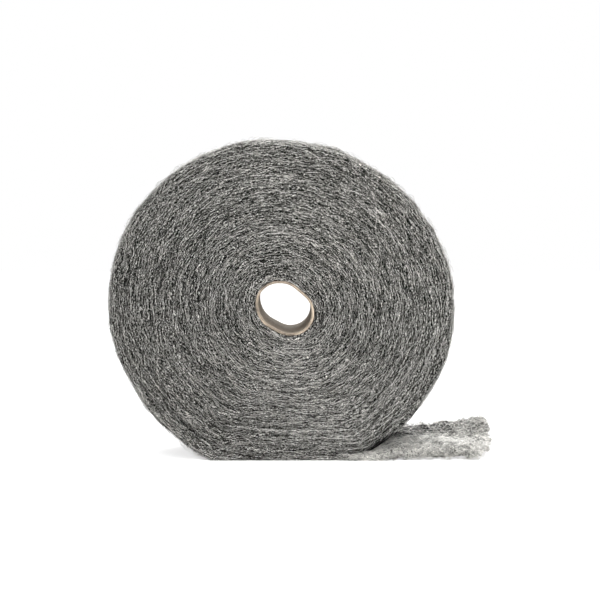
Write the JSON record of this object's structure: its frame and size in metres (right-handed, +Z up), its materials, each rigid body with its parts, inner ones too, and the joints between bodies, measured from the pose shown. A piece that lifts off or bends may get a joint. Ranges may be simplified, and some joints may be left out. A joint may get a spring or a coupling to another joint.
{
  "type": "steel wool reel",
  "caption": "Reel of coarse steel wool, a long web wound on a cardboard core, standing on its rim with its free end lying out.",
  "frame": {"origin": "on the floor under the roll, straight below the core's axis and midway along it", "axes": "+Y along the core's axis, away from the face that the picture shows; +X the way the tail lies out; +Z up"},
  "size_m": [0.2857, 0.1018, 0.2324],
  "materials": {
    "steel_wool": "tangled fine steel fibres, dull with bright glints",
    "cardboard": "spiral-wound tan paperboard, matt, with raw cut rims"
  },
  "bodies": {
    "root": {"core_tube": "cardboard", "wool_web": "steel_wool"}
  },
  "joints": []
}
